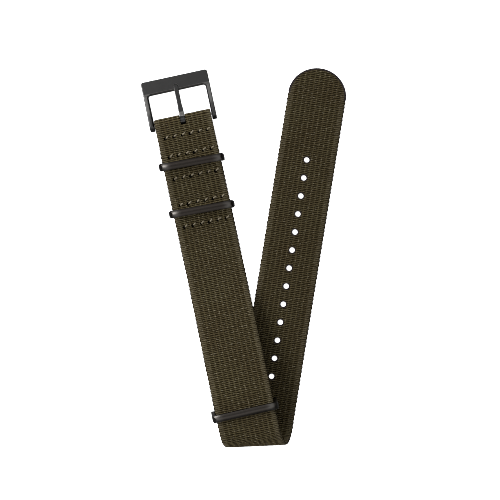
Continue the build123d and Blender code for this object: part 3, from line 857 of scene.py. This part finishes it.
def sewn_row(name, node, origin, sideways, forward, up):
    """The stitches of one thread that show on one face, each arching up out of its needle holes."""
    rings, sides = 17, 12
    dive = stitch_rise + stitch_sink
    points, faces, uv = [], [], []
    first = row_offset - stitch_pitch * (stitch_count - 1) / 2
    for stitch in range(stitch_count):
        centre = origin + sideways * (first + stitch_pitch * stitch)
        slant = stitch_slant + slant_spread * sin(2.1 * stitch + origin[1])
        reach_here = stitch_reach * (1 + reach_spread * sin(3.7 * stitch + 1.3 * origin[1]))
        run = sideways * cos(slant) + forward * sin(slant)
        beside = np.cross(up, run)
        start = len(points)
        for ring in range(rings):
            share = ring / (rings - 1)
            lean = 2 * share - 1
            arch = stitch_rise - dive * abs(lean) ** 4 - stitch_thick / 2
            spine = centre + run * (lean * reach_here / 2) + up * arch
            slope = -4 * dive * abs(lean) ** 3 * np.sign(lean) / (reach_here / 2)
            normal = up - run * slope
            normal /= np.linalg.norm(normal)
            for side in range(sides):
                turn = 2 * pi * side / sides
                ply = 1 + ply_depth * cos(plies * turn + 3.2 * pi * share + stitch)
                reach = stitch_thick / 2 * ply
                points.append(spine + (beside * cos(turn) + normal * sin(turn)) * reach)
        for ring in range(rings - 1):
            for side in range(sides):
                here, beyond = start + ring * sides, start + (ring + 1) * sides
                other = (side + 1) % sides
                faces.append((here + side, here + other, beyond + other, beyond + side))
                around = side / sides + 0.5 * ring / rings
                uv += [(around, ring / 4), (around + 1 / sides, ring / 4)]
                uv += [(around + 1 / sides, (ring + 1) / 4), (around, (ring + 1) / 4)]
        faces.append(tuple(start + side for side in range(sides))[::-1])
        faces.append(tuple(start + (rings - 1) * sides + side for side in range(sides)))
        uv += [(0.0, 0.0)] * (2 * sides)
    thread_mesh = bpy.data.meshes.new(name)
    thread_mesh.from_pydata([tuple(point * mm) for point in points], [], faces)
    layer = thread_mesh.uv_layers.new(name="twist")
    layer.data.foreach_set("uv", np.array(uv, np.float32).ravel())
    thread_mesh.shade_smooth()
    thread_mesh.materials.append(thread_finish)
    thread = bpy.data.objects.new(name, thread_mesh)
    bpy.context.scene.collection.objects.link(thread)
    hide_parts(node)
    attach(thread, "strap")


second_bottom = pin_z + second_rel_z - webbing_thick / 2
for letter, row_at in row_places.items():
    on_face = np.array((0, -row_at, top_z)) - middle
    behind = np.array((0, -row_at, second_bottom)) - middle
    needle, bobbin = f"needle_thread_{letter}", f"bobbin_thread_{letter}"
    sewn_row(f"face_stitches_{letter}", needle, on_face, across_x, along_y, upright)
    sewn_row(f"back_stitches_{letter}", bobbin, behind, across_x, along_y, -upright)
row_f = end_bar - heading * (dip_half + row_f_to_pocket)
on_face = row_f + slope_up * (wrap_mid + webbing_thick / 2)
behind = row_f + slope_up * (second_rel_z - webbing_thick / 2)
sewn_row("face_stitches_f", "needle_thread_f", on_face, slope_across, -heading, slope_up)
sewn_row("back_stitches_f", "bobbin_thread_f", behind, slope_across, -heading, -slope_up)

# The spring bar is a turned stainless tube with a sprung plunger crimped into each end. The
# plungers' tips sit in blind holes in the buckle's arms, and a hair-thin coil pushes them apart.
steel_pale = (0.60, 0.59, 0.57, 1)
steel_dull = (0.40, 0.39, 0.37, 1)


def turned_steel(name, roughness):
    """Bare turned stainless steel, with fine rings from the lathe and a few dull patches."""
    finish, tree, body = new_finish(name)
    body.inputs["Metallic"].default_value = 1.0
    place = tree.nodes.new("ShaderNodeTexCoord").outputs["Object"]
    rings = speckle(tree, stretched(tree, place, (60.0, 1.0, 1.0)), 400.0, 2.0)
    dull = speckle(tree, place, 900.0, 3.0)
    tree.links.new(blended(tree, dull, steel_pale, steel_dull), body.inputs["Base Color"])
    rough = reckon(tree, "ADD", reckon(tree, "MULTIPLY", rings, 0.2), roughness)
    tree.links.new(rough, body.inputs["Roughness"])
    in_relief(tree, rings, 0.01, body)
    return finish


def dress(node, finish):
    """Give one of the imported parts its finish."""
    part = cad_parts[node]
    part.data.materials.clear()
    part.data.materials.append(finish)


tube_steel = turned_steel("tube_steel", 0.25)
plunger_steel = turned_steel("plunger_steel", 0.18)
spring_steel = turned_steel("spring_steel", 0.35)
dress("spring_bar_tube", tube_steel)
dress("spring_bar_tip_left", plunger_steel)
dress("spring_bar_tip_right", plunger_steel)

# the coil is wound as two halves, which the plungers squeeze towards the middle of the tube
spring_turns = 12
spring_wire = 0.16
rings_per_turn, wire_sides = 20, 8
rings = spring_turns // 2 * rings_per_turn + 1
low, high = (np.array(corner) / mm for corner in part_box("spring_bar_spring"))
coil_middle = (low + high) / 2
coil_reach = (high[0] - low[0] - spring_wire) / 2
coil_radius = (high[2] - low[2] - spring_wire) / 2
lead = 2 * coil_reach / spring_turns
for name, side, joint in (("left", -1, "left_tip_slide"), ("right", 1, "right_tip_slide")):
    points, faces = [], []
    for ring in range(rings):
        turn = side * 2 * pi * ring / rings_per_turn
        radial = np.array((0, cos(turn), sin(turn)))
        spine = coil_middle + radial * coil_radius + np.array((lead * turn / (2 * pi), 0, 0))
        onward = np.array((lead / (2 * pi), -coil_radius * sin(turn), coil_radius * cos(turn)))
        beside = np.cross(side * onward / np.linalg.norm(onward), radial)
        for step in range(wire_sides):
            around = 2 * pi * step / wire_sides
            points.append(spine + (radial * cos(around) + beside * sin(around)) * spring_wire / 2)
    for ring in range(rings - 1):
        for step in range(wire_sides):
            here, beyond = ring * wire_sides, (ring + 1) * wire_sides
            other = (step + 1) % wire_sides
            faces.append((here + step, here + other, beyond + other, beyond + step))
    faces.append(tuple(range(wire_sides))[::-1])
    faces.append(tuple((rings - 1) * wire_sides + step for step in range(wire_sides)))
    coil_mesh = bpy.data.meshes.new(f"spring_coil_{name}")
    coil_mesh.from_pydata([tuple(point * mm) for point in points], [], faces)
    coil_mesh.shade_smooth()
    coil_mesh.materials.append(spring_steel)
    coil = bpy.data.objects.new(f"spring_coil_{name}", coil_mesh)
    bpy.context.scene.collection.objects.link(coil)
    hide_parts("spring_bar_spring")
    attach(coil, "strap")
    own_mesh(coil)

# The buckle is a square U of stainless steel, cast, ground flat, bead-blasted and coated dark by
# vapour. Handling has begun to brighten its edges, and its arms, the bevel of its bar and the
# tongue's root carry painted highlights. The tongue lies in a notch in its bar.
coat_dark = (0.050, 0.0495, 0.049, 1)
# the pale coat shows at the worn edges and as painted highlights
worn_and_highlight_coat = (0.200, 0.196, 0.188, 1)
coat_warm = (0.031, 0.0265, 0.0235, 1)
# the keepers' coat painted paler, as painted light for the end keeper
coat_lit_paler = (0.043, 0.038, 0.034, 1)


def dark_coat(name, base, roughness, brush, dressing=None, painted_highlight=None):
    """A dark satin coating over steel: blasted grain, faint brushing, and edges worn brighter.
    The dressing is how far below the drawn face the polishing wheel has eased it, in mm, and the
    last argument gives painted highlights: how much, from 0 to 1, the coat is painted brighter
    there."""
    finish, tree, body = new_finish(name)
    body.inputs["Metallic"].default_value = 1.0
    place = tree.nodes.new("ShaderNodeTexCoord").outputs["Object"]
    blasted = speckle(tree, place, 9000.0, 2.0)
    brushed = speckle(tree, stretched(tree, place, brush), 1500.0, 2.0)
    cloudy = speckle(tree, place, 350.0, 2.0)
    eased = tree.nodes.new("ShaderNodeBevel")
    eased.samples = 6
    eased.inputs["Radius"].default_value = 0.14 * mm
    flatness = tree.nodes.new("ShaderNodeVectorMath")
    flatness.operation = "DOT_PRODUCT"
    tree.links.new(eased.outputs[0], flatness.inputs[0])
    tree.links.new(tree.nodes.new("ShaderNodeNewGeometry").outputs["Normal"], flatness.inputs[1])
    turned = reckon(tree, "SUBTRACT", 1.0, flatness.outputs["Value"])
    turned = reckon(tree, "MULTIPLY", turned, reckon(tree, "ADD", cloudy, 0.5))
    wear_and_highlight = smooth_between(tree, turned, 0.02, 0.16)
    darker = blended(tree, cloudy, tuple(c * 0.85 for c in base[:3]) + (1,), base)
    spot = tree.nodes.new("ShaderNodeSeparateXYZ")
    tree.links.new(place, spot.inputs[0])
    x, y = (reckon(tree, "MULTIPLY", spot.outputs[axis], 1 / mm) for axis in ("X", "Y"))
    # painted highlights are added to the worn edges, and both take the pale coat
    if painted_highlight:
        wear_and_highlight = reckon(tree, "MAXIMUM", wear_and_highlight, painted_highlight(tree, x, y))
    tree.links.new(blended(tree, wear_and_highlight, darker, worn_and_highlight_coat), body.inputs["Base Color"])
    rough = reckon(tree, "ADD", reckon(tree, "MULTIPLY", brushed, 0.16), roughness)
    rough = reckon(tree, "ADD", rough, reckon(tree, "MULTIPLY", blasted, 0.06))
    tree.links.new(rough, body.inputs["Roughness"])
    raised = reckon(tree, "ADD", blasted, reckon(tree, "MULTIPLY", brushed, 0.6))
    relief = in_relief(tree, raised, 0.004, body)
    if dressing:
        in_relief(tree, dressing(tree, x, y), 1.0, relief).invert = True
    return finish


# where the buckle's parts lie, and how the wheel has shaped its arms, in mm
buckle_middle = -22.68
arm_middle = 10.95
arm_swell = 0.08
arm_fall = 0.025
fall_from = 6.0
arm_crown = 0.10
bar_edge = 61.23


def from_centreline(tree, x):
    """How far to either side of the buckle's and the keepers' common middle."""
    return reckon(tree, "ABSOLUTE", reckon(tree, "SUBTRACT", x, buckle_middle))


def highlight_between(tree, where, rise, fall, share):
    """A share from 0 to 1 of painted highlight on the coat, eased in over rise and out over fall.
    """
    past = smooth_between(tree, where, *rise)
    short = reckon(tree, "SUBTRACT", 1.0, smooth_between(tree, where, *fall))
    return reckon(tree, "MULTIPLY", reckon(tree, "MULTIPLY", past, short), share)


def arms_dressed(tree, x, y):
    """The arms swell a little past the bar, drop towards their ends, and are crowned across."""
    down = reckon(tree, "MAXIMUM", reckon(tree, "SUBTRACT", bar_edge, y), 0.0)
    late = reckon(tree, "MAXIMUM", reckon(tree, "SUBTRACT", down, fall_from), 0.0)
    fallen = reckon(tree, "MULTIPLY", reckon(tree, "MULTIPLY", late, late), arm_fall)
    fall = reckon(tree, "SUBTRACT", fallen, reckon(tree, "MULTIPLY", down, arm_swell))
    off = reckon(tree, "SUBTRACT", from_centreline(tree, x), arm_middle)
    crown = reckon(tree, "MULTIPLY", reckon(tree, "MULTIPLY", off, off), arm_crown)
    crown = reckon(tree, "MULTIPLY", crown, smooth_between(tree, down, 0.0, 1.0))
    return reckon(tree, "ADD", fall, crown)


def root_highlight(tree, x, y):
    """A painted highlight on the tongue's root, between the strap's fold and the first of its
    straight length.
    """
    return highlight_between(tree, y, (50.9, 51.7), (53.2, 53.6), 0.85)


def arms_highlight(tree, x, y):
    """A painted highlight on the upper two thirds of the arms, and a painted highlight line on the
    bar's bevel along the window."""
    arms = highlight_between(tree, y, (53.6, 55.6), (60.6, 61.6), 0.36)
    onto_bevel = (bar_edge + 0.03, bar_edge + 0.12)
    off_bevel = (bar_edge + 0.45, bar_edge + 0.65)
    return reckon(tree, "MAXIMUM", arms, highlight_between(tree, y, onto_bevel, off_bevel, 0.38))


# the brushing runs along the buckle's bar, and along the tongue
brushed_bar = (1.0, 8.0, 1.0)
brushed_tongue = (8.0, 1.0, 1.0)
frame_coat = dark_coat("frame_coat", coat_dark, 0.26, brushed_bar, arms_dressed, arms_highlight)
tongue_coat = dark_coat("tongue_coat", coat_dark, 0.24, brushed_tongue, painted_highlight=root_highlight)
dress("buckle_frame", frame_coat)
dress("buckle_tongue", tongue_coat)

# The three keepers are small steel rings of the same coat, a little warmer: a round rear bar sewn
# into the webbing, two short walls, and a domed front bar polished along its length. Painted
# highlights sit near the front bar's ends, and the end keeper's coat is a paler copy, as painted
# light.
brushed_keeper = (1.0, 10.0, 1.0)
flat_to = 6.5
end_ease = 0.0125


def ends_dressed(tree, x, y):
    """The front bar's ends are eased down towards the walls."""
    past = reckon(tree, "SUBTRACT", from_centreline(tree, x), flat_to)
    past = reckon(tree, "MAXIMUM", past, 0.0)
    return reckon(tree, "MULTIPLY", reckon(tree, "POWER", past, 3.0), end_ease)


def ends_highlight(tree, x, y):
    """A painted highlight on the shoulders of the front bar, near its ends."""
    return highlight_between(tree, from_centreline(tree, x), (6.8, 9.4), (9.8, 10.6), 0.20)


keeper_coat = dark_coat("keeper_coat", coat_warm, 0.26, brushed_keeper, ends_dressed, ends_highlight)
dress("upper_keeper", keeper_coat)
dress("lower_keeper", keeper_coat)
# painted light: the end keeper takes a paler, lit copy of the keepers' coat
end_keeper_lit_copy = dark_coat(
    "end_keeper_lit_coat", coat_lit_paler, 0.26, brushed_keeper, ends_dressed, ends_highlight
)
dress("end_keeper", end_keeper_lit_copy)
